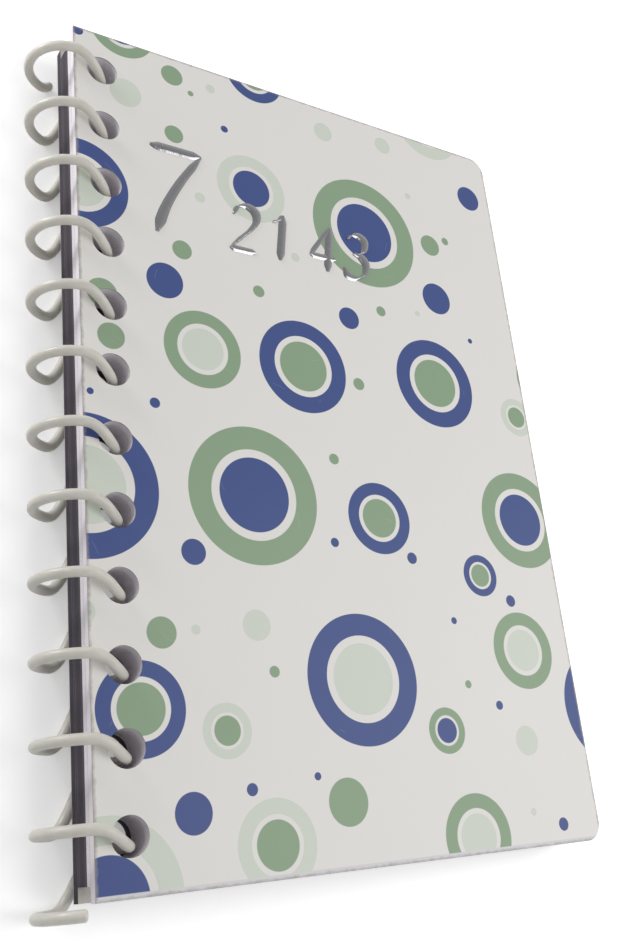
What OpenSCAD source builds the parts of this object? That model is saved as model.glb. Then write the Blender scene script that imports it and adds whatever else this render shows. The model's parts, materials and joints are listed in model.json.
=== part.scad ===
// Coil-bound booklet of bingo cards: two stiff covers and a block of card leaves on a plastic coil.
// The booklet lies closed on its back cover. X runs from the spine to the fore edge, Y from the tail
// edge to the head edge and Z up. The origin is on the table, under the middle of the whole booklet.

/* [Covers] */
// Width of a cover, from the spine edge to the fore edge
cover_w = 103; // [80:0.5:130]
// Height of a cover, from the tail edge to the head edge
cover_h = 157; // [152:0.5:200]
// Radius of the two fore-edge corners of a cover
cover_corner_r = 3.5; // [1:0.25:8]
// Thickness of the board in the middle of a cover
board_t = 1.6; // [1:0.1:2.4]
// Thickness of the printed sheet on the outside of a cover
print_t = 0.2; // [0.1:0.05:0.4]
// Thickness of the lining sheet on the inside of a cover
lining_t = 0.2; // [0.1:0.05:0.4]

/* [Leaves] */
// Number of card leaves between the covers
leaf_count = 20; // [2:2:24]
// Thickness of a leaf
leaf_t = 0.24; // [0.15:0.01:0.32]
// Air between two sheets of the closed booklet
sheet_gap = 0.02; // [0.02:0.01:0.06]
// How far a cover reaches past the leaves at the fore edge
fore_overhang = 1.4; // [0.5:0.1:4]
// How far a cover reaches past the leaves at the head edge, and again at the tail edge
end_overhang = 2.3; // [0.5:0.1:4]
// Radius of the two fore-edge corners of a leaf
leaf_corner_r = 3; // [1:0.25:8]

/* [Binding] */
// Distance from one hole to the next
hole_pitch = 12.7; // [8:0.1:16]
// Least distance from a hole's centre to the head edge or the tail edge of a leaf
hole_margin = 6; // [4.5:0.25:12]
// Diameter of the coil's wire
wire_d = 1.8; // [1.2:0.1:2.2]
// Gap between a cover and the strands that cross it
strand_gap = 1.3; // [1.2:0.05:2.5]
// Room left in a hole on either side of the wire's path
hole_play = 1.05; // [1:0.05:1.6]
// Distance from the coil's axis to the spine edges
spine_clearance = 0.1; // [0.05:0.05:0.5]
// How far a strand climbs towards the head while it crosses the front cover
front_climb = 2.8; // [1:0.1:2.8]
// Gap between the tail edge of a cover and the coil's last strand, which runs past it
tail_gap = 0.4; // [0.3:0.05:2]
// Where the coil stops at the tail edge, as an angle from the holes over the front
tail_stop = 105; // [95:5:180]
// Where the coil stops at the head edge, counted the same way
head_stop = 265; // [190:5:300]

/* [Hidden] */
$fn = 64;

// The closed stack, centred on the coil's axis
cover_t = board_t + print_t + lining_t;
leaf_step = leaf_t + sheet_gap;
stack_t = 2 * cover_t + leaf_count * leaf_step + sheet_gap;
front_z = stack_t / 2 - cover_t;
back_z = -stack_t / 2;
fore_x = spine_clearance + cover_w;
leaf_w = cover_w - fore_overhang;
leaf_h = cover_h - 2 * end_overhang;

// The coil, and the holes that give its wire the same room on both sides
coil_r = stack_t / 2 + strand_gap + wire_d / 2;
wire_near_x = sqrt(pow(coil_r - wire_d / 2, 2) - pow(stack_t / 2, 2));
wire_far_x = coil_r + wire_d / 2;
hole_x = (wire_near_x + wire_far_x) / 2;
hole_d = wire_far_x - wire_near_x + 2 * hole_play;
hole_count = floor((leaf_h - 2 * hole_margin) / hole_pitch) + 1;
hole_row = (hole_count - 1) * hole_pitch;

// A strand climbs in two smooth steps, one over the front cover and a longer one behind the back
// cover. It stays level where the turning leaves pass, and the end at the tail edge passes clear of them.
front_step = [62, 42];
back_step = [280, 40];
seam_turns = 0.1;
loop_rings = 24;
wire_sides = 6;
foot_flat = wire_d / 10;
foot_r = coil_r + wire_d / 2 - foot_flat;
first_y = -(hole_row + front_climb) / 2;
tail_y = -cover_h / 2 - tail_gap - wire_d / 2;

// The booklet leans so that the coil and the fore edge of the back cover both touch the table
lean = asin(foot_r / norm([fore_x, stack_t / 2])) - atan2(stack_t / 2, fore_x);

first_turn = tail_stop / 360 - 1;
last_turn = hole_count - 1 + head_stop / 360;
ring_count = ceil((last_turn - first_turn) * loop_rings) + 1;
ring_turns = (last_turn - first_turn) / (ring_count - 1);

function leaf_name(k) = str("leaf_", k < 10 ? "0" : "", k);
function unit(v) = v / norm(v);
function leant(p) = [p.x * cos(lean) + p.z * sin(lean), p.y, p.z * cos(lean) - p.x * sin(lean)];

// Smooth climb from 0 to 1 over a step given as [its middle, its half width] in degrees
function climb(deg, step) =
    let (t = max(-1, min(1, (deg - step[0]) / step[1])))
    (1 + t) / 2 + sin(180 * t) / (2 * PI);

// Height along the spine, and the point on the wire's centreline, after a number of turns
function strand_y(turns) =
    let (
        hole = floor(turns + seam_turns),
        deg = 360 * (turns - hole),
        front_y = front_climb * climb(deg, front_step)
    )
    hole < 0
        ? tail_y + (first_y - tail_y) * climb(deg, back_step)
        : first_y + hole * hole_pitch + front_y + (hole_pitch - front_climb) * climb(deg, back_step);
function strand(turns) =
    leant([coil_r * cos(360 * turns), strand_y(turns), coil_r * sin(360 * turns)]);

// One ring of the wire, square to its centreline and flattened where it meets the table
function wire_ring(turns) =
    let (
        centre = strand(turns),
        along = unit(strand(turns + ring_turns / 4) - strand(turns - ring_turns / 4)),
        outward = [centre.x, 0, centre.z],
        up = unit(outward - (outward * along) * along),
        side = cross(along, up)
    )
    [
        for (k = [0 : wire_sides - 1])
        let (p = centre + wire_d / 2 * (cos(360 * k / wire_sides) * up + sin(360 * k / wire_sides) * side))
        [p.x, p.y, max(p.z, -foot_r)]
    ];

coil_path = [for (i = [0 : ring_count - 1]) strand(first_turn + i * ring_turns)];
coil_points = [for (i = [0 : ring_count - 1]) each wire_ring(first_turn + i * ring_turns)];

// Least distance between two strands of the coil, from their centrelines
coil_gap = min([
    for (i = [0 : ring_count - 1])
    for (j = [i + loop_rings / 2 : min(i + 2 * loop_rings, ring_count - 1)])
    norm(coil_path[i] - coil_path[j])
]) - wire_d;
echo(least_gap_of_the_coil_to_itself_mm = coil_gap);

// The middle of the whole booklet, seen from above, and the table under it
low = [for (axis = [0 : 1]) min([for (p = coil_points) p[axis]])];
high = [leant([fore_x, 0, stack_t / 2]).x, cover_h / 2];
table_origin = [(low.x + high.x) / 2, (min(low.y, -cover_h / 2) + high.y) / 2, -foot_r];

// Outline of a sheet with a square spine edge and two rounded fore-edge corners
module sheet_outline(w, h, r) {
    translate([0, -h / 2]) square([w - r, h]);
    translate([w - r, -h / 2 + r]) square([r, h - 2 * r]);
    for (side = [-1, 1]) translate([w - r, side * (h / 2 - r)]) circle(r);
}

// A punched sheet, with its underside at height z above the coil's axis
module sheet(w, h, r, t, z) {
    translate(-table_origin) rotate([0, lean, 0]) translate([0, 0, z]) linear_extrude(t) difference() {
        translate([spine_clearance, 0]) sheet_outline(w, h, r);
        for (k = [0 : hole_count - 1]) translate([hole_x, k * hole_pitch - hole_row / 2]) circle(d = hole_d);
    }
}

module cover_sheet(t, z) {
    sheet(cover_w, cover_h, cover_corner_r, t, z);
}

module front_lining() {
    color("whitesmoke") cover_sheet(lining_t, front_z);
}

module front_board() {
    color([0.78, 0.77, 0.78]) cover_sheet(board_t, front_z + lining_t);
}

module front_print() {
    color([0.87, 0.86, 0.84]) cover_sheet(print_t, front_z + lining_t + board_t);
}

module back_print() {
    color([0.87, 0.86, 0.84]) cover_sheet(print_t, back_z);
}

module back_board() {
    color([0.34, 0.32, 0.35]) cover_sheet(board_t, back_z + print_t);
}

module back_lining() {
    color("whitesmoke") cover_sheet(lining_t, back_z + print_t + board_t);
}

// Leaf k, counted down from the front cover
module leaf(k) {
    color([0.28, 0.27, 0.30]) sheet(leaf_w, leaf_h, leaf_corner_r, leaf_t, front_z - k * leaf_step);
}

// One unbroken wire, wound through every hole from the tail edge to the head edge
module binding_coil() {
    n = wire_sides;
    last = (ring_count - 1) * n;
    tail_cap = [for (k = [1 : n - 2]) [0, k, k + 1]];
    head_cap = [for (k = [1 : n - 2]) [last, last + k + 1, last + k]];
    walls = [
        for (i = [0 : ring_count - 2], k = [0 : n - 1])
        let (a = i * n + k, b = i * n + (k + 1) % n)
        each [[a, a + n, b], [b, a + n, b + n]]
    ];
    color([0.75, 0.74, 0.70]) translate(-table_origin)
        polyhedron(coil_points, concat(tail_cap, walls, head_cap));
}

front_board();
front_print();
front_lining();
back_board();
back_print();
back_lining();
binding_coil();
for (k = [1 : leaf_count]) leaf(k);
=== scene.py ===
"""Dresses the coil-bound booklet of bingo cards in print, card, silver foil and milky plastic."""

import functools
import json
import math

import bpy
import numpy as np
from bpy.props import FloatProperty, FloatVectorProperty, IntProperty, PointerProperty
from mathutils import Matrix, Vector


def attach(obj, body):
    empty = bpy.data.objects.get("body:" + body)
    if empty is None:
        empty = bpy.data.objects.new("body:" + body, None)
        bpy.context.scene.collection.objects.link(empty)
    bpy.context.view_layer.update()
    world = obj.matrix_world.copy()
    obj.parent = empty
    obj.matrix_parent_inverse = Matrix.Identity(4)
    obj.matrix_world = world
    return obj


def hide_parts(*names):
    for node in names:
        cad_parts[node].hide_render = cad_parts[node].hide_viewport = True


bl_info = {
    "name": "Bingo Card Booklet",
    "version": (1, 0, 0),
    "blender": (4, 5, 0),
    "location": "View3D > Sidebar > Booklet",
    "description": "Prints the covers and leaves of a booklet, winds its coil and lights it",
    "category": "Object",
}

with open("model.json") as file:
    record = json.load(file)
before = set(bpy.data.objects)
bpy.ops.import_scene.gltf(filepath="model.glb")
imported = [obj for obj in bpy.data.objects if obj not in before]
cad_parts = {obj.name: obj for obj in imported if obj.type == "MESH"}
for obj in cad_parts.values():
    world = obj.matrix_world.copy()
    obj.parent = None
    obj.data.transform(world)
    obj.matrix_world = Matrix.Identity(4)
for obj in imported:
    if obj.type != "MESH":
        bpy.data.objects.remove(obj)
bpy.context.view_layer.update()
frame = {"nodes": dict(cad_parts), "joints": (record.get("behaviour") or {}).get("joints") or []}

MM = 0.001
LEAVES = sorted(name for name in frame["nodes"] if name.startswith("leaf_"))


# The booklet's own axes: across it from the spine, along the spine, and up out of the front cover

def vertex_places(mesh):
    """All vertices of a mesh as an array of points."""
    places = np.empty(3 * len(mesh.vertices))
    mesh.vertices.foreach_get("co", places)
    return places.reshape(-1, 3)


def upper_normal(node):
    """Unit normal of a flat sheet's upper side: its upward faces' normals, weighted by area."""
    least_rise = 0.9
    faces = frame["nodes"][node].data.polygons
    normals = np.empty(3 * len(faces))
    areas = np.empty(len(faces))
    faces.foreach_get("normal", normals)
    faces.foreach_get("area", areas)
    normals = normals.reshape(-1, 3)
    upward = normals[:, 2] > least_rise
    total = (normals[upward] * areas[upward, None]).sum(axis=0)
    return total / np.linalg.norm(total)


UP = upper_normal("front_print")
ALONG = np.array((0.0, 1.0, 0.0))
ACROSS = np.cross(ALONG, UP)
AXES = np.array((ACROSS, ALONG, UP))
LEAN = math.atan2(UP[0], UP[2])
SPINE = np.array(frame["joints"][0]["pos_m"], float)
SPINE[1] = vertex_places(frame["nodes"]["front_print"].data)[:, 1].mean()


def span(node):
    """Lowest and highest corner of a node, measured along the booklet's own axes."""
    places = (vertex_places(frame["nodes"][node].data) - SPINE) @ AXES.T
    return places.min(axis=0), places.max(axis=0)


def in_frame(places):
    """Points given along the booklet's own axes, as points of the frame."""
    return SPINE + places @ AXES


COVER_LOW, COVER_HIGH = span("front_print")
LEAF_LOW, LEAF_HIGH = span(LEAVES[0])
NEXT_LEAF_HIGH = span(LEAVES[1])[1]
LEAF_STEP = LEAF_HIGH[2] - NEXT_LEAF_HIGH[2]


# Settings

def length(name, description, millimetres):
    """A length setting, kept in metres, from its default in millimetres."""
    return FloatProperty(
        name=name, description=description, default=millimetres * MM, precision=5, unit="LENGTH"
    )


def angle(name, description, degrees):
    """An angle setting, kept in radians, from its default in degrees."""
    return FloatProperty(
        name=name, description=description, default=math.radians(degrees), subtype="ANGLE"
    )


def lamp_power(name, description, watts):
    """A setting for the power of a lamp."""
    return FloatProperty(name=name, description=description, default=watts, unit="POWER")


def spot(name, description, metres):
    """A setting for a place in space, in metres."""
    return FloatVectorProperty(
        name=name, description=description, default=metres, subtype="TRANSLATION", unit="LENGTH"
    )


def colour(name, description, red, green, blue):
    """A colour setting, kept as linear light, from its default as seen on a screen (0 to 255): the sRGB
    curve, a short straight line and a power curve above it."""
    seen = np.array((red, green, blue)) / 255
    linear = np.where(seen <= 0.04045, seen / 12.92, ((seen + 0.055) / 1.055) ** 2.4)
    return FloatVectorProperty(
        name=name, description=description, default=tuple(linear), min=0, max=1, subtype="COLOR"
    )


class BookletSizes(bpy.types.PropertyGroup):
    """Sizes of the booklet's coil, foil numbers and leaves."""

    wire_d: length("Wire diameter", "Diameter of the coil's wire", 1.8)
    hole_pitch: length("Hole pitch", "Distance from one hole to the next", 12.7)
    hole_count: IntProperty(name="Holes", description="Number of holes along the spine", default=12)
    front_climb: length("Front climb", "How far a strand climbs while it crosses the front", 2.8)
    tail_gap: length("Tail gap", "Gap between the tail edge and the coil's last strand", 0.4)
    tail_stop: angle("Tail stop", "Where the coil stops at the tail edge", 105)
    head_stop: angle("Head stop", "Where the coil stops at the head edge", 265)

    foil_left: length("Foil left", "From the coil's axis to the first foil number", 11)
    foil_base: length("Foil base", "Height of the foil numbers' foot above mid-cover", 36.5)
    foil_height: length("Foil height", "Height of the first foil number", 20)
    foil_nib: length("Foil nib", "Widest stroke of the foil numbers", 3)
    foil_dome: length("Foil dome", "How far the foil's middle stands off the cover", 0.22)

    pale_leaves: IntProperty(
        name="Pale leaves", description="Leaves under the front cover with a pale spine edge", default=5
    )
    cell_w: length("Cell width", "Width of one square of a card, with its gap", 17)
    cell_h: length("Cell height", "Height of one square of a card, with its gap", 22)
    cell_gap: length("Cell gap", "Gap between two squares of a card", 1.4)
    cell_corner: length("Cell corner", "Radius of a square's corners", 2)
    number_height: length("Number height", "Height of the numbers on a card", 9)
    number_line: length("Number line", "Stroke of the numbers on a card", 1.1)
    ink_t: length("Ink thickness", "How far the numbers stand off a leaf", 0.008)


class BookletColours(bpy.types.PropertyGroup):
    """Colours of the booklet's papers, inks and plastic."""

    paper: colour("Paper", "Unprinted ground of the covers", 226, 223, 218)
    blue: colour("Blue", "Blue ink", 70, 86, 138)
    sage: colour("Sage", "Sage green ink", 140, 163, 134)
    pale: colour("Pale", "Pale green ink", 206, 212, 199)
    margin: colour("Margin", "Unprinted margin of the covers", 212, 210, 212)
    # Also the grey of the darker line along the outlines of the covers and the linings.
    cut_edge: colour("Cut edge", "Cut edges of the printed sheet and the darker line along the covers' outline", 158, 150, 145)
    lining: colour("Lining", "Lining paper inside the covers", 224, 221, 213)
    white_board: colour("White board", "Board of the front cover", 228, 223, 230)
    grey_board: colour("Grey board", "Board of the back cover", 70, 64, 73)
    card: colour("Card", "Card of the leaves", 64, 59, 67)
    card_edge: colour("Card edge", "Lightest edges of the leaves", 98, 94, 102)
    card_core: colour("Card core", "Pale core of the leaves, in holes and cut edges", 228, 223, 229)
    coil: colour("Coil", "Plastic of the coil", 222, 219, 210)
    foil: colour("Foil", "Silver foil", 164, 164, 166)


class BookletStage(bpy.types.PropertyGroup):
    """Camera, lights and floor."""

    camera_place: spot(
        "Camera place",
        "From the middle of the front cover's spine edge, along the booklet's axes",
        (-0.057474, -0.072978, 0.152473),
    )
    camera_turn: FloatVectorProperty(
        name="Camera turn",
        description="How the camera is turned, from the booklet's axes",
        default=tuple(math.radians(turn) for turn in (23.0667, -32.0029, -6.7491)),
        subtype="EULER",
    )
    camera_lens: FloatProperty(
        name="Camera lens", description="Focal length on a 36 mm sensor, in mm", default=39.646
    )
    floor: colour("Floor", "Floor as it is seen", 252, 252, 252)
    floor_glow: colour("Floor glow", "Light that the floor adds to its own look", 150, 150, 150)
    floor_bounce: colour("Floor bounce", "Floor as it lights the booklet from below", 205, 204, 202)
    horizon: colour("Horizon", "Surround at eye level", 236, 236, 236)
    zenith: colour("Zenith", "Surround overhead", 160, 161, 164)
    key_power: lamp_power("Key power", "Power of the main lamp", 1.4)
    key_size: length("Key size", "Width of the main lamp", 400)
    key_place: spot("Key place", "Where the main lamp hangs", (0.32, -0.06, 0.42))
    fill_power: lamp_power("Fill power", "Power of the lamp beside the spine", 0.6)
    fill_size: length("Fill size", "Width of the lamp beside the spine", 100)
    fill_place: spot("Fill place", "Where the lamp beside the spine stands", (-0.26, 0.22, 0.045))


# Shader wiring

class Wiring:
    """Adds the nodes of one tree from left to right and links them as they are made."""

    COLUMN = 180

    def __init__(self, tree):
        self.tree = tree
        self.column = 0
        tree.nodes.clear()

    def add(self, kind, inputs=(), **options):
        """A new node with its options set and its inputs, by name or number, set or linked."""
        node = self.tree.nodes.new(kind)
        node.location.x = self.column
        self.column += self.COLUMN
        for name, value in options.items():
            setattr(node, name, value)
        for key, value in dict(inputs).items():
            self.feed(node.inputs[key], value)
        return node

    def feed(self, socket, value):
        """Links a socket to an output, or sets it to a plain value."""
        if isinstance(value, bpy.types.NodeSocket):
            self.tree.links.new(value, socket)
        else:
            socket.default_value = value

    def math(self, operation, *values, clamp=False):
        node = self.add("ShaderNodeMath", enumerate(values), operation=operation, use_clamp=clamp)
        return node.outputs[0]

    def vector(self, operation, *values):
        node = self.add("ShaderNodeVectorMath", enumerate(values), operation=operation)
        return node.outputs["Value" if operation in ("LENGTH", "DOT_PRODUCT") else "Vector"]

    def parts(self, vector):
        return self.add("ShaderNodeSeparateXYZ", {0: vector}).outputs

    def joined(self, x, y, z=0.0):
        return self.add("ShaderNodeCombineXYZ", {0: x, 1: y, 2: z}).outputs[0]

    def mix(self, factor, first, second, blend="MIX"):
        inputs = {"Factor": factor, 6: first, 7: second}
        return self.add("ShaderNodeMix", inputs, data_type="RGBA", blend_type=blend).outputs[2]

    def below(self, value, edge, softness):
        """1 where a value is under an edge and 0 over it, with a straight ramp between."""
        room = self.math("SUBTRACT", edge, value)
        return self.math("MULTIPLY_ADD", room, 0.5 / softness, 0.5, clamp=True)

    def between(self, share, low, high):
        """A share from 0 to 1, as a value from low to high."""
        return self.math("MULTIPLY_ADD", share, self.math("SUBTRACT", high, low), low)

    def noise(self, vector, scale, detail=3.0, roughness=0.55):
        inputs = {"Vector": vector, "Scale": scale, "Detail": detail, "Roughness": roughness}
        return self.add("ShaderNodeTexNoise", inputs).outputs["Fac"]

    def stretched(self, vector, x, y, z):
        return self.vector("MULTIPLY", vector, (x, y, z))

    def bands(self, value, colours):
        """Flat bands of colour of equal width, picked by a value from 0 to 1."""
        node = self.add("ShaderNodeValToRGB", {0: value})
        ramp = node.color_ramp
        ramp.interpolation = "CONSTANT"
        for step in range(1, len(colours)):
            ramp.elements.new(step / len(colours))
        ramp.elements.remove(ramp.elements[-1])
        for element, shade in zip(ramp.elements, colours):
            element.color = shade
        return node.outputs["Color"]

    def group(self, tree, **inputs):
        """Places a node group; its inputs are named with _ for a space."""
        named = {name.replace("_", " "): value for name, value in inputs.items()}
        return self.add("ShaderNodeGroup", named, node_tree=tree).outputs

    def surface(self, colour, roughness, height=None, depth=0.0, fixed=()):
        """Ends a material in one shader. Fixed values are set on the shader's own sockets."""
        inputs = {"Base Color": colour, "Roughness": roughness, **dict(fixed)}
        if height is not None:
            bump = self.add("ShaderNodeBump", {"Height": height, "Distance": depth})
            inputs["Normal"] = bump.outputs["Normal"]
        shader = self.add("ShaderNodeBsdfPrincipled", inputs)
        self.add("ShaderNodeOutputMaterial", {"Surface": shader.outputs[0]})


def new_material(name):
    """A material and the wiring of its empty node tree."""
    material = bpy.data.materials.new(name)
    material.use_nodes = True
    return material, Wiring(material.node_tree)


def opaque(shade):
    """A colour setting as a node's colour."""
    return (*shade, 1.0)


def booklet_place(wiring):
    """Object coordinates turned into millimetres along the booklet's own axes."""
    origin = -(SPINE @ AXES.T) / MM
    inputs = {
        "Vector": wiring.add("ShaderNodeTexCoord").outputs["Object"],
        "Location": tuple(origin),
        "Rotation": (0.0, -LEAN, 0.0),
        "Scale": (1 / MM,) * 3,
    }
    return wiring.add("ShaderNodeMapping", inputs, vector_type="POINT").outputs[0]


def on_face(wiring):
    """1 on the broad sides of a sheet and 0 on its cut edges and hole walls."""
    least_facing = 0.5
    normal = wiring.add("ShaderNodeTexCoord").outputs["Normal"]
    facing = wiring.math("ABSOLUTE", wiring.vector("DOT_PRODUCT", normal, tuple(UP)))
    return wiring.math("GREATER_THAN", facing, least_facing)


def node_group(name, inputs, outputs):
    """A new shader group with value, vector or colour sockets, and the wiring inside it."""
    tree = bpy.data.node_groups.new(name, "ShaderNodeTree")
    for direction, sockets in (("INPUT", inputs), ("OUTPUT", outputs)):
        for label, kind in sockets.items():
            tree.interface.new_socket(label, in_out=direction, socket_type="NodeSocket" + kind)
    wiring = Wiring(tree)
    source = wiring.add("NodeGroupInput").outputs
    return tree, wiring, source


def close_group(wiring, **outputs):
    """Links a group's results to its outputs."""
    wiring.add("NodeGroupOutput", {name.replace("_", " "): value for name, value in outputs.items()})


@functools.cache
def scatter_group():
    """One mark in each cell of staggered rows: every second row is shifted by half a cell, and a mark
    of random size sits anywhere in its cell where it doesn't cross the cell's border."""
    tree, wiring, source = node_group(
        "Scattered marks",
        {"Vector": "Vector", "Cell": "Float", "Smallest": "Float", "Largest": "Float", "Seed": "Float"},
        {"Offset": "Vector", "Centre": "Vector", "Radius": "Float", "Pick": "Float"},
    )
    cell = source["Cell"]
    across, along, _ = wiring.parts(source["Vector"])
    column_place = wiring.math("DIVIDE", across, cell)
    row_place = wiring.math("DIVIDE", along, cell)
    row = wiring.math("FLOOR", row_place)
    shift = wiring.math("FRACT", wiring.math("MULTIPLY", row, 0.5))
    column_place = wiring.math("ADD", column_place, shift)
    column = wiring.math("FLOOR", column_place)
    key = wiring.joined(column, row, source["Seed"])
    chance = wiring.add("ShaderNodeTexWhiteNoise", {"Vector": key}, noise_dimensions="3D").outputs
    right, high, size = wiring.parts(chance["Color"])
    radius = wiring.between(size, source["Smallest"], source["Largest"])
    room = wiring.math("SUBTRACT", cell, wiring.math("MULTIPLY", radius, 2.0))
    offset_parts = []
    for place, index, luck in ((column_place, column, right), (row_place, row, high)):
        in_cell = wiring.math("SUBTRACT", wiring.math("SUBTRACT", place, index), 0.5)
        in_cell = wiring.math("MULTIPLY", in_cell, cell)
        jitter = wiring.math("MULTIPLY", wiring.math("SUBTRACT", luck, 0.5), room)
        offset_parts.append(wiring.math("SUBTRACT", in_cell, jitter))
    offset = wiring.joined(*offset_parts)
    centre = wiring.vector("SUBTRACT", wiring.joined(across, along), offset)
    close_group(wiring, Offset=offset, Centre=centre, Radius=radius, Pick=chance["Value"])
    return tree


@functools.cache
def dots_group():
    """Round dots with a pale ring and a core: masks by distance from each scattered mark's centre."""
    tree, wiring, source = node_group(
        "Printed dots",
        {"Vector": "Vector", **dict.fromkeys(("Cell", "Smallest", "Largest", "Share", "Seed"), "Float")},
        {**dict.fromkeys(("Dot", "Ring", "Core", "Pick", "Rim", "Radius"), "Float"), "Centre": "Vector"},
    )
    names = ("Vector", "Cell", "Smallest", "Largest", "Seed")
    mark = wiring.group(scatter_group(), **{name: source[name] for name in names})
    ring_share, core_share, least_ringed = 0.66, 0.54, 4.0
    edge, absent, reshuffle = 0.05, 1000.0, 37.0
    reach = wiring.vector("LENGTH", mark["Offset"])
    luck = wiring.math("FRACT", wiring.math("MULTIPLY", mark["Pick"], reshuffle))
    present = wiring.math("LESS_THAN", luck, source["Share"])
    ringed = wiring.math("GREATER_THAN", mark["Radius"], least_ringed)
    ringed = wiring.math("MULTIPLY", ringed, present)
    masks = []
    for share, shown in ((1.0, present), (ring_share, ringed), (core_share, ringed)):
        limit = wiring.math("MULTIPLY", mark["Radius"], share)
        masks.append(wiring.math("MULTIPLY", wiring.below(reach, limit, edge), shown))
    rim = wiring.math("SUBTRACT", reach, mark["Radius"])
    missing = wiring.math("MULTIPLY", wiring.math("SUBTRACT", 1.0, present), absent)
    rim = wiring.math("ADD", rim, missing)
    close_group(
        wiring,
        Dot=masks[0],
        Ring=masks[1],
        Core=masks[2],
        Pick=mark["Pick"],
        Rim=rim,
        Radius=mark["Radius"],
        Centre=mark["Centre"],
    )
    return tree


@functools.cache
def scratch_group():
    """Short bowed scratches: thin arcs, each turned at random about its scattered mark's centre."""
    tree, wiring, source = node_group(
        "Fine scratches",
        {"Vector": "Vector", "Cell": "Float", "Longest": "Float", "Width": "Float", "Seed": "Float"},
        {"Scratch": "Float"},
    )
    least_share, bend = 0.2, 0.06
    half = wiring.math("MULTIPLY", source["Longest"], 0.5)
    sizes = {"Smallest": wiring.math("MULTIPLY", half, least_share), "Largest": half}
    names = ("Vector", "Cell", "Seed")
    mark = wiring.group(scatter_group(), **{name: source[name] for name in names}, **sizes)
    turn = wiring.math("MULTIPLY", mark["Pick"], math.tau)
    inputs = {"Vector": mark["Offset"], "Angle": turn}
    turned = wiring.add("ShaderNodeVectorRotate", inputs, rotation_type="Z_AXIS").outputs[0]
    run, side, _ = wiring.parts(turned)
    bow = wiring.math("MULTIPLY", wiring.math("MULTIPLY", run, run), bend)
    away = wiring.math("ABSOLUTE", wiring.math("SUBTRACT", side, bow))
    thin = wiring.below(away, source["Width"], softness=0.03)
    short = wiring.below(wiring.math("ABSOLUTE", run), mark["Radius"], softness=0.3)
    close_group(wiring, Scratch=wiring.math("MULTIPLY", thin, short))
    return tree


@functools.cache
def fibre_group():
    """Paper and board tone: fine fibres from stretched noise over slow clouds."""
    tree, wiring, source = node_group(
        "Paper fibre",
        {"Vector": "Vector", "Contrast": "Float"},
        {"Tone": "Float", "Height": "Float"},
    )
    fibre_share, cloud_share = 0.6, 0.4
    grain = wiring.stretched(source["Vector"], x=3.0, y=1.1, z=6.0)
    fibres = wiring.noise(grain, scale=1.0, detail=5.0)
    clouds = wiring.noise(source["Vector"], scale=0.07, detail=2.0)
    fine = wiring.math("MULTIPLY", fibres, fibre_share)
    slow = wiring.math("MULTIPLY", clouds, cloud_share)
    both = wiring.math("ADD", fine, slow)
    swing = wiring.math("MULTIPLY", wiring.math("SUBTRACT", both, 0.5), source["Contrast"])
    close_group(wiring, Tone=wiring.math("ADD", swing, 1.0), Height=fibres)
    return tree


@functools.cache
def wear_group():
    """Darkening: strongest at the outline of a cover and broken up by noise further in."""
    tree, wiring, source = node_group(
        "Edge darkening",
        {"Vector": "Vector", "Width": "Float"},
        {"Wear": "Float"},
    )
    spared, strength = 0.9, 1.6
    across, along, _ = wiring.parts(source["Vector"])
    half = (COVER_HIGH[1] - COVER_LOW[1]) / 2 / MM
    from_spine = wiring.math("SUBTRACT", across, COVER_LOW[0] / MM)
    from_fore = wiring.math("SUBTRACT", COVER_HIGH[0] / MM, across)
    from_end = wiring.math("SUBTRACT", half, wiring.math("ABSOLUTE", along))
    nearest = wiring.math("MINIMUM", wiring.math("MINIMUM", from_spine, from_fore), from_end)
    near = wiring.math("SUBTRACT", 1.0, wiring.math("DIVIDE", nearest, source["Width"]), clamp=True)
    rough = wiring.noise(source["Vector"], scale=0.9, detail=4.0)
    ragged = wiring.math("SUBTRACT", wiring.math("ADD", near, rough), spared)
    close_group(wiring, Wear=wiring.math("MULTIPLY", ragged, strength, clamp=True))
    return tree


# Finishes

def toned(wiring, shade, tone):
    """A colour made lighter or darker by a tone around 1."""
    return wiring.mix(1.0, shade, wiring.joined(tone, tone, tone), blend="MULTIPLY")


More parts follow.
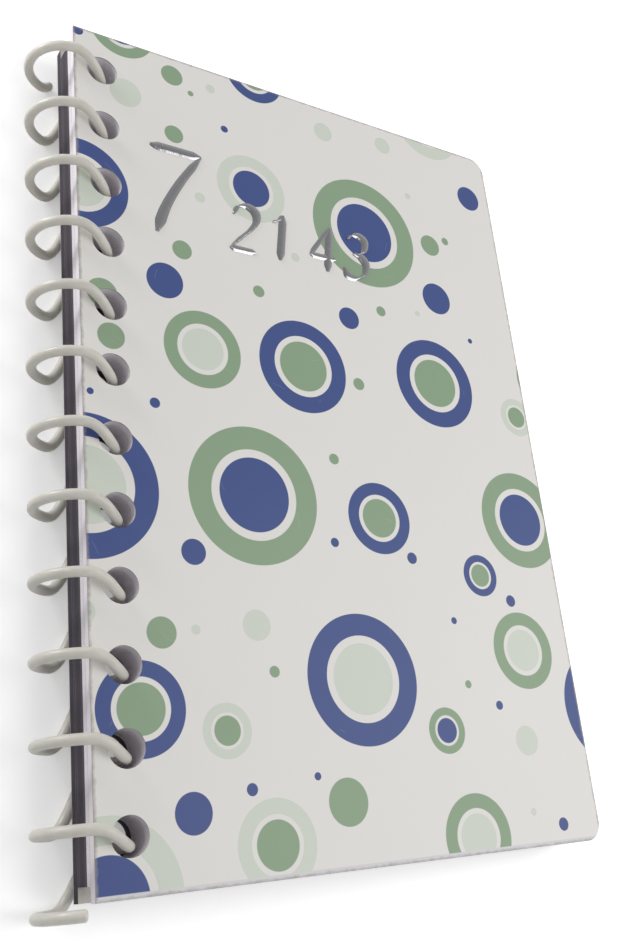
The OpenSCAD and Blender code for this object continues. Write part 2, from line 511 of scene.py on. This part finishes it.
def laminated_print(colours):
    """White paper printed with scattered dots and rings under a satin film, with fine scratches."""
    material, wiring = new_material("laminated_print")
    place = booklet_place(wiring)
    shades = (colours.paper, colours.blue, colours.sage, colours.pale)
    paper, blue, sage, pale = (opaque(shade) for shade in shades)
    outers = (blue, sage, pale, blue, pale, sage)
    cores = (sage, blue, sage, pale, blue, pale)
    large_sizes = dict(Cell=33.0, Smallest=5.5, Largest=13.5, Share=0.94, Seed=5.0)
    medium_sizes = dict(Cell=15.5, Smallest=1.8, Largest=4.6, Share=0.85, Seed=11.0)
    small_sizes = dict(Cell=8.5, Smallest=0.6, Largest=1.4, Share=0.4, Seed=23.0)
    clearance = 1.5
    scratch_strength, darkening_strength = 0.15, 0.8
    ink_shine, film_share = 0.05, 0.5

    large = wiring.group(dots_group(), Vector=place, **large_sizes)
    medium = wiring.group(dots_group(), Vector=place, **medium_sizes)
    small = wiring.group(dots_group(), Vector=place, **small_sizes)

    def clear_of(layer, sizes):
        """1 for a dot that lies clear of the dots of another layer."""
        other = wiring.group(dots_group(), Vector=layer["Centre"], **sizes)
        room = wiring.math("ADD", layer["Radius"], clearance)
        return wiring.math("GREATER_THAN", other["Rim"], room)

    medium_kept = clear_of(medium, large_sizes)
    small_kept = wiring.math("MULTIPLY", clear_of(small, large_sizes), clear_of(small, medium_sizes))

    ink = paper
    printed = 0.0
    masks = ("Dot", "Ring", "Core")
    for layer, kept in ((small, small_kept), (medium, medium_kept), (large, 1.0)):
        dot, ring, core = (wiring.math("MULTIPLY", layer[name], kept) for name in masks)
        ink = wiring.mix(dot, ink, wiring.bands(layer["Pick"], outers))
        ink = wiring.mix(ring, ink, paper)
        ink = wiring.mix(core, ink, wiring.bands(layer["Pick"], cores))
        cover = wiring.math("ADD", wiring.math("SUBTRACT", dot, ring), core)
        printed = wiring.math("MAXIMUM", printed, cover)

    fibre = wiring.group(fibre_group(), Vector=place, Contrast=0.035)
    ink = toned(wiring, ink, fibre["Tone"])
    scratch = wiring.group(scratch_group(), Vector=place, Cell=11.0, Longest=3.0, Width=0.04, Seed=3.0)
    scratch = wiring.math("MULTIPLY", scratch["Scratch"], scratch_strength)
    ink = wiring.mix(scratch, ink, paper)
    from_tail = wiring.math("SUBTRACT", wiring.parts(place)[1], COVER_LOW[1] / MM)
    margin = wiring.below(from_tail, edge=0.8, softness=0.06)
    ink = wiring.mix(margin, ink, opaque(colours.margin))
    # A thin grey line darkens the cover's outline, broken up by noise further in; the sheet's cut edges
    # take the same grey.
    darkening = wiring.group(wear_group(), Vector=place, Width=0.9)
    darkening = wiring.math("MULTIPLY", darkening["Wear"], darkening_strength)
    ink = wiring.mix(darkening, ink, opaque(colours.cut_edge))
    ink = wiring.mix(on_face(wiring), opaque(colours.cut_edge), ink)

    smears = wiring.noise(place, scale=0.05, detail=3.0)
    gloss = wiring.between(smears, low=0.34, high=0.46)
    gloss = wiring.math("SUBTRACT", gloss, wiring.math("MULTIPLY", printed, ink_shine))
    film = wiring.noise(place, scale=0.35, detail=2.0)
    relief = wiring.math("ADD", printed, wiring.math("MULTIPLY", film, film_share))
    wiring.surface(ink, gloss, relief, depth=0.02 * MM, fixed={"Specular IOR Level": 0.2})
    return material


def lining_paper(colours):
    """Uncoated white paper with soft fibres, a little darker along its edges. The cut edge of the back
    cover's sheet is as dark as its board."""
    material, wiring = new_material("lining_paper")
    place = booklet_place(wiring)
    darkening_strength = 0.3
    fibre = wiring.group(fibre_group(), Vector=place, Contrast=0.12)
    shade = toned(wiring, opaque(colours.lining), fibre["Tone"])
    darkening = wiring.group(wear_group(), Vector=place, Width=4.0)
    darkening = wiring.math("MULTIPLY", darkening["Wear"], darkening_strength)
    shade = wiring.mix(darkening, shade, opaque(colours.cut_edge))
    cut = wiring.math("SUBTRACT", 1.0, on_face(wiring))
    dark = wiring.math("MULTIPLY", cut, wiring.math("LESS_THAN", wiring.parts(place)[2], 0.0))
    shade = wiring.mix(dark, shade, opaque(colours.grey_board))
    shine = wiring.between(fibre["Height"], low=0.75, high=0.9)
    wiring.surface(shade, shine, fibre["Height"], depth=0.03 * MM)
    return material


def pressed_board(name, shade):
    """Pressed board: fibres in flat layers that show as streaks along its cut edge."""
    material, wiring = new_material(name)
    place = booklet_place(wiring)
    fibre = wiring.group(fibre_group(), Vector=place, Contrast=0.25)
    flat = wiring.stretched(place, x=0.12, y=0.12, z=7.0)
    layers = wiring.noise(flat, scale=1.0, detail=3.0)
    streaks = wiring.between(layers, low=0.86, high=1.14)
    tone = wiring.math("MULTIPLY", fibre["Tone"], streaks)
    streaked = toned(wiring, opaque(shade), tone)
    shine = wiring.between(fibre["Height"], low=0.7, high=0.9)
    wiring.surface(streaked, shine, layers, depth=0.05 * MM, fixed={"Specular IOR Level": 0.15})
    return material


def printed_card(colours, sizes):
    """Dark card printed with a five by five grid of white squares, with a dot over each column and a
    green one in the free square. Spine edges differ in tone from leaf to leaf. Those of the first
    leaves, the other cut edges and the holes' walls show the card's pale core."""
    material, wiring = new_material("printed_card")
    place = booklet_place(wiring)
    across, along, up = wiring.parts(place)
    paper, blue, sage = (opaque(shade) for shade in (colours.paper, colours.blue, colours.sage))

    cell_w, cell_h = sizes.cell_w / MM, sizes.cell_h / MM
    corner, gap = sizes.cell_corner / MM, sizes.cell_gap / MM
    edge, free_share, header_share, header_rise = 0.05, 0.32, 0.16, 0.3
    spine_depth, tone_power = 1.0, 4.0
    centre_x, centre_y = (value / MM for value in card_centre(sizes))
    from_x = wiring.math("SUBTRACT", across, centre_x)
    from_y = wiring.math("SUBTRACT", along, centre_y)
    out = []
    for distance, cell in ((from_x, cell_w), (from_y, cell_h)):
        in_cell = wiring.math("WRAP", distance, cell / 2, -cell / 2)
        past = wiring.math("SUBTRACT", wiring.math("ABSOLUTE", in_cell), (cell - gap) / 2 - corner)
        out.append(wiring.math("MAXIMUM", past, 0.0))
    squares = wiring.below(wiring.vector("LENGTH", wiring.joined(*out)), corner, edge)
    for distance, cell in ((from_x, cell_w), (from_y, cell_h)):
        inside = wiring.math("LESS_THAN", wiring.math("ABSOLUTE", distance), CARD_SIDE * cell / 2)
        squares = wiring.math("MULTIPLY", squares, inside)

    free_r, header_r = free_share * cell_w, header_share * cell_w
    free = wiring.below(wiring.vector("LENGTH", wiring.joined(from_x, from_y)), free_r, edge)
    header_y = wiring.math("SUBTRACT", from_y, CARD_SIDE * cell_h / 2 + header_rise * cell_w)
    header_x = wiring.math("WRAP", from_x, cell_w / 2, -cell_w / 2)
    header = wiring.below(wiring.vector("LENGTH", wiring.joined(header_x, header_y)), header_r, edge)
    on_card = wiring.math("LESS_THAN", wiring.math("ABSOLUTE", from_x), CARD_SIDE * cell_w / 2)
    header = wiring.math("MULTIPLY", header, on_card)
    column = wiring.math("ADD", wiring.math("DIVIDE", from_x, cell_w), CARD_SIDE / 2)
    column = wiring.math("FLOOR", column)
    column = wiring.math("DIVIDE", wiring.math("ADD", column, 0.5), CARD_SIDE)

    fibre = wiring.group(fibre_group(), Vector=place, Contrast=0.3)
    leaf = wiring.math("FLOOR", wiring.math("DIVIDE", up, LEAF_STEP / MM))
    tone = wiring.add("ShaderNodeTexWhiteNoise", {"W": leaf}, noise_dimensions="1D").outputs["Value"]
    tone = wiring.math("POWER", tone, tone_power)
    edges = wiring.mix(tone, opaque(colours.card), opaque(colours.card_edge))
    spine_reach = LEAF_LOW[0] / MM + spine_depth
    pale_low = (LEAF_HIGH[2] - sizes.pale_leaves * LEAF_STEP) / MM
    by_spine = wiring.below(across, spine_reach, softness=0.2)
    dark = wiring.math("MULTIPLY", by_spine, wiring.below(up, pale_low, softness=0.01))
    edges = wiring.mix(dark, opaque(colours.card_core), edges)
    shade = wiring.mix(on_face(wiring), edges, opaque(colours.card))
    shade = toned(wiring, shade, fibre["Tone"])
    shade = wiring.mix(squares, shade, paper)
    shade = wiring.mix(free, shade, sage)
    shade = wiring.mix(header, shade, wiring.bands(column, (sage, blue, sage, blue, sage)))
    shine = wiring.between(fibre["Height"], low=0.55, high=0.75)
    wiring.surface(shade, shine, fibre["Height"], depth=0.02 * MM, fixed={"Specular IOR Level": 0.15})
    return material


def number_ink(colours):
    """Blue printing ink, a little uneven."""
    material, wiring = new_material("number_ink")
    fibre = wiring.group(fibre_group(), Vector=booklet_place(wiring), Contrast=0.3)
    shade = toned(wiring, opaque(colours.blue), fibre["Tone"])
    wiring.surface(shade, wiring.between(fibre["Height"], low=0.45, high=0.65))
    return material


def silver_foil(colours):
    """Satin stamped foil with a faint crinkle and fine scratches."""
    material, wiring = new_material("silver_foil")
    place = booklet_place(wiring)
    scratch_strength = 0.3
    crinkle = wiring.noise(place, scale=0.5, detail=4.0, roughness=0.6)
    scratch = wiring.group(scratch_group(), Vector=place, Cell=4.0, Longest=3.0, Width=0.04, Seed=8.0)
    scratch = wiring.math("MULTIPLY", scratch["Scratch"], scratch_strength)
    gloss = wiring.math("ADD", wiring.between(crinkle, low=0.12, high=0.24), scratch)
    wiring.surface(opaque(colours.foil), gloss, crinkle, depth=0.06 * MM, fixed={"Metallic": 1.0})
    return material


def coil_plastic(colours):
    """Milky plastic with slow streaks along the wire and a soft shine."""
    material, wiring = new_material("coil_plastic")
    place = booklet_place(wiring)
    streaks = wiring.noise(place, scale=0.6, detail=3.0)
    shade = toned(wiring, opaque(colours.coil), wiring.between(streaks, low=0.9, high=1.08))
    ripple = wiring.noise(place, scale=2.5, detail=2.0)
    gloss = wiring.between(ripple, low=0.26, high=0.42)
    fixed = {
        "Subsurface Weight": 0.4,
        "Subsurface Radius": (1.0, 0.95, 0.85),
        "Subsurface Scale": 0.7 * MM,
        "Transmission Weight": 0.25,
        "IOR": 1.46,
    }
    wiring.surface(shade, gloss, streaks, depth=0.02 * MM, fixed=fixed)
    return material


def floor_paint(stage):
    """Pale floor that looks lighter to the eye than the light it throws back under the booklet."""
    material, wiring = new_material("floor_paint")
    seen = wiring.add("ShaderNodeLightPath").outputs
    direct = wiring.math("MAXIMUM", seen["Is Camera Ray"], seen["Is Glossy Ray"])
    direct = wiring.math("MAXIMUM", direct, seen["Is Transmission Ray"])
    shade = wiring.mix(direct, opaque(stage.floor_bounce), opaque(stage.floor))
    black = (0.0, 0.0, 0.0)
    glow = wiring.mix(direct, opaque(black), opaque(stage.floor_glow))
    fixed = {"Specular IOR Level": 0.0, "Emission Color": glow, "Emission Strength": 1.0}
    wiring.surface(shade, roughness=0.9, fixed=fixed)
    return material


# Shapes

def tube(sections):
    """A closed tube through rows of section points, given in order round the tube: quads join each
    point to the next point round and the next section along, and a flat face closes each end."""
    rows, columns = sections.shape[:2]
    index = np.arange(rows * columns).reshape(rows, columns)
    beside = np.roll(index, -1, axis=1)
    walls = np.stack((index[:-1], beside[:-1], beside[1:], index[1:]), axis=-1).reshape(-1, 4)
    ends = np.stack((index[0, ::-1], index[-1]))
    return sections.reshape(-1, 3), [walls, ends]


def moved(part, turn=(1, 1, 1), shift=(0, 0, 0)):
    """A part turned half round by signs, then shifted."""
    places, faces = part
    return places * np.array(turn) + np.array(shift), faces


def new_piece(name, parts, material, body, smooth=None):
    """One mesh object from parts given along the booklet's axes, riding on a body. What would reach
    below the table is flattened on it. Faces that meet at less than the smooth angle are shaded as one
    surface."""
    counts = np.array([len(places) for places, _ in parts])
    starts = np.cumsum(counts) - counts
    faces = [face + start for (_, kinds), start in zip(parts, starts) for face in kinds]
    mesh = bpy.data.meshes.new(name)
    places = in_frame(np.vstack([places for places, _ in parts]))
    places[:, 2] = np.maximum(places[:, 2], 0.0)
    mesh.from_pydata(places, [], [corner for face in faces for corner in face.tolist()])
    if smooth is not None:
        mesh.shade_smooth()
        mesh.set_sharp_from_angle(angle=smooth)
    mesh.materials.append(material)
    piece = bpy.data.objects.new(name, mesh)
    bpy.context.scene.collection.objects.link(piece)
    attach(piece, body)
    return piece


def eased_climb(degrees, middle, half_width):
    """Climb from 0 to 1 over one step: a straight ramp with a sine wave added to level its ends."""
    t = np.clip((degrees - middle) / half_width, -1, 1)
    return (1 + t) / 2 + np.sin(np.pi * t) / (2 * np.pi)


def strand_line(turns, sizes):
    """Centreline of the coil: a circle round its axis that climbs in two smooth steps each turn, a
    short one over the front cover and a long one behind the back cover. Before the first hole it runs
    level past the tail edge and climbs behind the cover alone."""
    # Each step as its middle and its half width, in degrees
    front_step, back_step = (62, 42), (280, 40)
    seam_turns, foot_flat = 0.1, 0.1
    radius = SPINE[2] - (0.5 - foot_flat) * sizes.wire_d
    hole = np.floor(turns + seam_turns)
    degrees = 360 * (turns - hole)
    in_front = eased_climb(degrees, *front_step)
    behind = eased_climb(degrees, *back_step)
    first = -((sizes.hole_count - 1) * sizes.hole_pitch + sizes.front_climb) / 2
    tail = COVER_LOW[1] - sizes.tail_gap - sizes.wire_d / 2
    climb = sizes.front_climb * in_front + (sizes.hole_pitch - sizes.front_climb) * behind
    along = np.where(hole < 0, tail + (first - tail) * behind, first + hole * sizes.hole_pitch + climb)
    swing = math.tau * turns
    return np.stack((radius * np.cos(swing), along, radius * np.sin(swing)), axis=-1)


def coil_sections(sizes, loop_rings=72, sides=16, end_rings=6):
    """Rings of the wire, square to its centreline. Their radius follows a quarter circle at both ends,
    so the cut tips are rounded."""
    tip_share, least_swell = 0.3, 0.35
    first = sizes.tail_stop / math.tau - 1
    last = sizes.hole_count - 1 + sizes.head_stop / math.tau
    turn_length = math.tau * SPINE[2]
    tip = tip_share * sizes.wire_d
    quarter = np.linspace(0, np.pi / 2, end_rings)
    tip_turns = tip * (1 - np.cos(quarter)) / turn_length
    body_turns = np.linspace(
        first + tip_turns[-1], last - tip_turns[-1], round((last - first) * loop_rings)
    )[1:-1]
    turns = np.concatenate((first + tip_turns, body_turns, (last - tip_turns)[::-1]))
    swell = least_swell + (1 - least_swell) * np.sin(quarter)
    scale = np.concatenate((swell, np.ones(len(body_turns)), swell[::-1]))

    step = 0.25 / loop_rings
    line = strand_line(turns, sizes)
    along = strand_line(turns + step, sizes) - strand_line(turns - step, sizes)
    along /= np.linalg.norm(along, axis=1, keepdims=True)
    outward = line * (1, 0, 1)
    outward -= (outward * along).sum(axis=1, keepdims=True) * along
    outward /= np.linalg.norm(outward, axis=1, keepdims=True)
    side = np.cross(along, outward)
    round_wire = np.linspace(0, math.tau, sides, endpoint=False)[None, :, None]
    radius = (scale * sizes.wire_d / 2)[:, None, None]
    ring = np.cos(round_wire) * outward[:, None] + np.sin(round_wire) * side[:, None]
    return line[:, None] + radius * ring


# Strokes of plain digits in a box one high, each stroke a smooth line through its points
DIGIT_W = 0.6
DIGIT_ADVANCE = 0.76
DIGIT_STROKES = {
    "0": [((0.30, 1.0), (0.09, 0.83), (0.03, 0.5), (0.09, 0.17), (0.30, 0.0), (0.51, 0.17), (0.57, 0.5),
           (0.51, 0.83), (0.30, 1.0))],
    "1": [((0.12, 0.80), (0.25, 0.88), (0.34, 1.0)), ((0.34, 1.0), (0.34, 0.0))],
    "2": [((0.06, 0.76), (0.14, 0.94), (0.32, 1.0), (0.50, 0.91), (0.54, 0.72), (0.44, 0.51),
           (0.24, 0.27), (0.05, 0.03)), ((0.05, 0.03), (0.58, 0.03))],
    "3": [((0.08, 0.84), (0.20, 0.97), (0.36, 0.99), (0.50, 0.88), (0.49, 0.68), (0.36, 0.56),
           (0.24, 0.54)), ((0.24, 0.54), (0.42, 0.51), (0.55, 0.36), (0.52, 0.13), (0.34, 0.0),
           (0.15, 0.03), (0.04, 0.18))],
    "4": [((0.43, 1.0), (0.02, 0.30)), ((0.02, 0.30), (0.60, 0.30)), ((0.43, 1.0), (0.43, 0.0))],
    "5": [((0.53, 0.97), (0.14, 0.97)), ((0.14, 0.97), (0.10, 0.56)),
          ((0.10, 0.56), (0.27, 0.63), (0.45, 0.59), (0.56, 0.41), (0.53, 0.16), (0.36, 0.0),
           (0.16, 0.02), (0.04, 0.14))],
    "6": [((0.47, 0.97), (0.26, 0.82), (0.10, 0.56), (0.06, 0.30), (0.14, 0.08), (0.31, 0.0),
           (0.49, 0.10), (0.54, 0.30), (0.46, 0.50), (0.29, 0.56), (0.13, 0.47), (0.06, 0.30))],
    "7": [((0.04, 0.97), (0.58, 0.97)), ((0.58, 0.97), (0.40, 0.62), (0.28, 0.30), (0.22, 0.0))],
    "8": [((0.30, 0.53), (0.13, 0.65), (0.13, 0.88), (0.30, 1.0), (0.47, 0.88), (0.47, 0.65),
           (0.30, 0.53), (0.08, 0.37), (0.08, 0.12), (0.30, 0.0), (0.52, 0.12), (0.52, 0.37),
           (0.30, 0.53))],
}
DIGIT_STROKES["9"] = [tuple((DIGIT_W - x, 1 - y) for x, y in stroke) for stroke in DIGIT_STROKES["6"]]


def smooth_line(points, steps):
    """Curve through points: each span is a cubic whose slope at a point is half the way between that
    point's neighbours."""
    known = np.array(points)
    known = np.vstack((2 * known[0] - known[1], known, 2 * known[-1] - known[-2]))
    a, b, c, d = (known[i:len(known) - 3 + i, None] for i in range(4))
    t = np.linspace(0, 1, steps, endpoint=False)[:, None]
    square = (a - 2.5 * b + 2 * c - d / 2) * t**2
    cube = (1.5 * (b - c) + (d - a) / 2) * t**3
    curve = b + (c - a) * t / 2 + square + cube
    return np.vstack((curve.reshape(-1, 2), known[-2]))


def pen_stroke(points, steps, half_width, profile):
    """A line drawn with a pen: a profile of (share of the half width, height) points carried along the
    line. The half width is a function of the line's direction and of the share of its length."""
    line = smooth_line(points, steps)
    heading = np.gradient(line, axis=0)
    heading /= np.linalg.norm(heading, axis=1, keepdims=True)
    left = np.stack((-heading[:, 1], heading[:, 0]), axis=-1)
    half = half_width(heading, np.linspace(0, 1, len(line)))
    share, height = np.array(profile).T
    flat = line[:, None] + left[:, None] * (half[:, None] * share)[:, :, None]
    return np.concatenate((flat, np.broadcast_to(height[:, None], (*flat.shape[:2], 1))), axis=2)


def foil_digit(digit, height, sizes):
    """One foil digit, drawn with a broad slanted nib: strokes across the nib are wide, strokes along it
    are hairlines, and all swell from pointed ends. The foil is domed over the width of a stroke."""
    nib_turn, hairline, slant, steps = math.radians(35), 0.22, 0.16, 14
    taper, point, rim_share, sunk_share, dome_points = 0.14, 0.12, 0.1, 0.3, 9
    nib = np.array((math.cos(nib_turn), math.sin(nib_turn)))
    widest = sizes.foil_nib / 2 / math.sqrt(sizes.foil_height * height)
    rise = sizes.foil_dome / height
    sunk = -sunk_share * rise
    shares = np.linspace(1, -1, dome_points)
    dome = ((share, rise * (1 + rim_share - share * share)) for share in shares)
    profile = [(1, sunk), *dome, (-1, sunk)]

    def half_width(heading, run):
        across_nib = np.abs(heading[:, 0] * nib[1] - heading[:, 1] * nib[0])
        swell = np.clip(np.minimum(run, 1 - run) / taper, point, 1)
        return widest * (hairline + (1 - hairline) * across_nib) * np.sqrt(swell)

    parts = []
    for stroke in DIGIT_STROKES[digit]:
        sections = pen_stroke(stroke, steps, half_width, profile) * height
        sections[..., 0] += slant * sections[..., 1]
        parts.append(tube(sections))
    return parts


@functools.cache
def ink_digit(digit, height, line, thickness):
    """One printed digit: a plain line of even width, as thin as ink."""
    steps, sunk_share = 2, 0.5
    half = line / 2 / height
    top, sunk = thickness / height, -sunk_share * thickness / height
    profile = ((1, sunk), (1, top), (-1, top), (-1, sunk))

    def half_width(heading, run):
        return np.full(len(run), half)

    strokes = DIGIT_STROKES[digit]
    return [tube(pen_stroke(stroke, steps, half_width, profile) * height) for stroke in strokes]


# Cards

CARD_SIDE = 5
CARD_RANGE = 15
FOIL_NUMBERS = ("7", "21", "43")


def card_centre(sizes):
    """Middle of a leaf's number grid: midway between the holes and the fore edge, and low enough to
    leave room for the header dots."""
    hole_margin, header = 8.5 * MM, 6 * MM
    return (LEAF_LOW[0] + hole_margin + LEAF_HIGH[0]) / 2, -header / 2


def card_numbers(draw):
    """One card: each column holds five different numbers of its own range, and the middle is free."""
    columns = [
        column * CARD_RANGE + 1 + np.sort(draw.permutation(CARD_RANGE)[:CARD_SIDE])
        for column in range(CARD_SIDE)
    ]
    grid = np.stack(columns, axis=1)
    grid[CARD_SIDE // 2, CARD_SIDE // 2] = 0
    return grid


def card_parts(draw, sizes):
    """The numbers of one card, each centred in its square, on a plane at height 0 and round (0, 0)."""
    height = sizes.number_height
    parts = []
    for (row, column), number in np.ndenumerate(card_numbers(draw)):
        if number == 0:
            continue
        digits = str(number)
        width = (DIGIT_ADVANCE * (len(digits) - 1) + DIGIT_W) * height
        left = (column - CARD_SIDE // 2) * sizes.cell_w - width / 2
        foot = (CARD_SIDE // 2 - row) * sizes.cell_h - height / 2
        for place, digit in enumerate(digits):
            strokes = ink_digit(digit, height, sizes.number_line, sizes.ink_t)
            shift = (left + place * DIGIT_ADVANCE * height, foot, 0)
            parts.extend(moved(stroke, shift=shift) for stroke in strokes)
    return parts


# Operators

def dress(node, material):
    """Gives a node of the frame a finish."""
    mesh = frame["nodes"][node].data
    mesh.materials.clear()
    mesh.materials.append(material)


class BOOKLET_OT_wind_coil(bpy.types.Operator):
    """Wind the plastic coil through all the holes"""

    bl_idname = "booklet.wind_coil"
    bl_label = "Wind Coil"

    def execute(self, context):
        scene = context.scene
        sections = coil_sections(scene.booklet_sizes)
        plastic = coil_plastic(scene.booklet_colours)
        parts = [tube(sections)]
        coil = new_piece("coil_wire", parts, plastic, "back_cover", smooth=math.radians(50))
        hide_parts("binding_coil")
        return {"FINISHED"}


class BOOKLET_OT_print_covers(bpy.types.Operator):
    """Print and laminate the outside of both covers"""

    bl_idname = "booklet.print_covers"
    bl_label = "Print Covers"

    def execute(self, context):
        film = laminated_print(context.scene.booklet_colours)
        for node in ("front_print", "back_print"):
            dress(node, film)
        return {"FINISHED"}


class BOOKLET_OT_face_boards(bpy.types.Operator):
    """Finish the boards of both covers and the lining papers inside them"""

    bl_idname = "booklet.face_boards"
    bl_label = "Face Boards"

    def execute(self, context):
        colours = context.scene.booklet_colours
        lining = lining_paper(colours)
        for node in ("front_lining", "back_lining"):
            dress(node, lining)
        dress("front_board", pressed_board("white_pressed_board", colours.white_board))
        dress("back_board", pressed_board("grey_pressed_board", colours.grey_board))
        return {"FINISHED"}


class BOOKLET_OT_stamp_foil(bpy.types.Operator):
    """Stamp plain numbers in silver foil on the front cover"""

    bl_idname = "booklet.stamp_foil"
    bl_label = "Stamp Foil Numbers"

    def execute(self, context):
        scene = context.scene
        sizes = scene.booklet_sizes
        later_share, word_gap = 0.54, 0.2
        parts = []
        left = sizes.foil_left
        for order, number in enumerate(FOIL_NUMBERS):
            height = sizes.foil_height * (1 if order == 0 else later_share)
            for digit in number:
                shift = (left, sizes.foil_base, COVER_HIGH[2])
                parts.extend(moved(stroke, shift=shift) for stroke in foil_digit(digit, height, sizes))
                left += DIGIT_ADVANCE * height
            left += word_gap * height
        foil = silver_foil(scene.booklet_colours)
        new_piece("foil_numbers", parts, foil, "front_cover", smooth=math.radians(40))
        return {"FINISHED"}


class BOOKLET_OT_print_leaves(bpy.types.Operator):
    """Print a number grid on both sides of every leaf"""

    bl_idname = "booklet.print_leaves"
    bl_label = "Print Leaves"

    def execute(self, context):
        scene = context.scene
        sizes = scene.booklet_sizes
        card = printed_card(scene.booklet_colours, sizes)
        ink = number_ink(scene.booklet_colours)
        for order, leaf in enumerate(LEAVES):
            dress(leaf, card)
            low, high = span(leaf)
            draws = (np.random.default_rng(2 * order + side) for side in (0, 1))
            front, back = (card_parts(draw, sizes) for draw in draws)
            x, y = card_centre(sizes)
            parts = [moved(part, shift=(x, y, high[2])) for part in front]
            parts += [moved(part, turn=(-1, 1, -1), shift=(x, y, low[2])) for part in back]
            new_piece(f"{leaf}_numbers", parts, ink, leaf)
        return {"FINISHED"}


class BOOKLET_OT_set_stage(bpy.types.Operator):
    """Set up the floor, the lights and the camera"""

    bl_idname = "booklet.set_stage"
    bl_label = "Set Stage"

    def execute(self, context):
        scene = context.scene
        stage = scene.booklet_stage
        self.lay_floor(scene, stage)
        self.light(scene, stage)
        self.place_camera(scene, stage)
        scene.view_settings.view_transform = "Standard"
        return {"FINISHED"}

    def lay_floor(self, scene, stage):
        """A wide flat floor at the height of the table."""
        half = 2.0
        mesh = bpy.data.meshes.new("floor")
        corners = [(-half, -half, 0), (half, -half, 0), (half, half, 0), (-half, half, 0)]
        mesh.from_pydata(corners, [], [(0, 1, 2, 3)])
        mesh.materials.append(floor_paint(stage))
        floor = bpy.data.objects.new("floor", mesh)
        scene.collection.objects.link(floor)

    def light(self, scene, stage):
        """A bright surround that darkens overhead, a broad lamp above and a low one beside the spine."""
        self.hang_lamp(scene, "key_lamp", stage.key_place, stage.key_power, stage.key_size)
        self.hang_lamp(scene, "fill_lamp", stage.fill_place, stage.fill_power, stage.fill_size)
        world = bpy.data.worlds.new("studio")
        scene.world = world
        world.use_nodes = True
        wiring = Wiring(world.node_tree)
        direction = wiring.add("ShaderNodeTexCoord").outputs["Generated"]
        height = wiring.math("MAXIMUM", wiring.parts(direction)[2], 0.0)
        sky = wiring.mix(height, opaque(stage.horizon), opaque(stage.zenith))
        light = wiring.add("ShaderNodeBackground", {"Color": sky, "Strength": 1.0})
        wiring.add("ShaderNodeOutputWorld", {"Surface": light.outputs[0]})

    def hang_lamp(self, scene, name, place, power, size):
        """A square lamp aimed at the booklet, hidden from the camera itself."""
        lamp = bpy.data.lights.new(name, "AREA")
        lamp.energy = power
        lamp.size = size
        holder = bpy.data.objects.new(name, lamp)
        holder.location = place
        holder.visible_camera = False
        holder.rotation_euler = (-Vector(place)).to_track_quat("-Z", "Y").to_euler()
        scene.collection.objects.link(holder)

    def place_camera(self, scene, stage):
        """A camera placed from the front cover's spine edge and turned from the booklet's axes."""
        lens = bpy.data.cameras.new("camera")
        lens.lens = stage.camera_lens
        lens.sensor_width = 36.0
        lens.clip_start = 0.005
        camera = bpy.data.objects.new("camera", lens)
        spine_edge = np.array((COVER_LOW[0], 0.0, COVER_HIGH[2]))
        camera.location = in_frame(spine_edge + np.array(stage.camera_place))
        camera.rotation_euler = (Matrix(AXES.T) @ stage.camera_turn.to_matrix()).to_euler()
        scene.collection.objects.link(camera)
        scene.camera = camera


class BOOKLET_PT_panel(bpy.types.Panel):
    """Settings of the booklet and the steps that dress it"""

    bl_idname = "BOOKLET_PT_panel"
    bl_label = "Booklet"
    bl_space_type = "VIEW_3D"
    bl_region_type = "UI"
    bl_category = "Booklet"

    def draw(self, context):
        for name in SETTINGS:
            box = self.layout.box()
            settings = getattr(context.scene, name)
            for key in settings.__annotations__:
                box.prop(settings, key)
        for operator in OPERATORS:
            self.layout.operator(operator.bl_idname)


SETTINGS = {
    "booklet_sizes": BookletSizes,
    "booklet_colours": BookletColours,
    "booklet_stage": BookletStage,
}
OPERATORS = (
    BOOKLET_OT_set_stage,
    BOOKLET_OT_wind_coil,
    BOOKLET_OT_print_covers,
    BOOKLET_OT_face_boards,
    BOOKLET_OT_stamp_foil,
    BOOKLET_OT_print_leaves,
)
CLASSES = (*SETTINGS.values(), *OPERATORS, BOOKLET_PT_panel)


def register():
    for kind in CLASSES:
        bpy.utils.register_class(kind)
    for name, kind in SETTINGS.items():
        setattr(bpy.types.Scene, name, PointerProperty(type=kind))


def unregister():
    for name in SETTINGS:
        delattr(bpy.types.Scene, name)
    for kind in reversed(CLASSES):
        bpy.utils.unregister_class(kind)


def main():
    register()
    for operator in OPERATORS:
        step = operator.bl_idname.partition(".")[2]
        getattr(bpy.ops.booklet, step)()


if __name__ == "__main__":
    main()
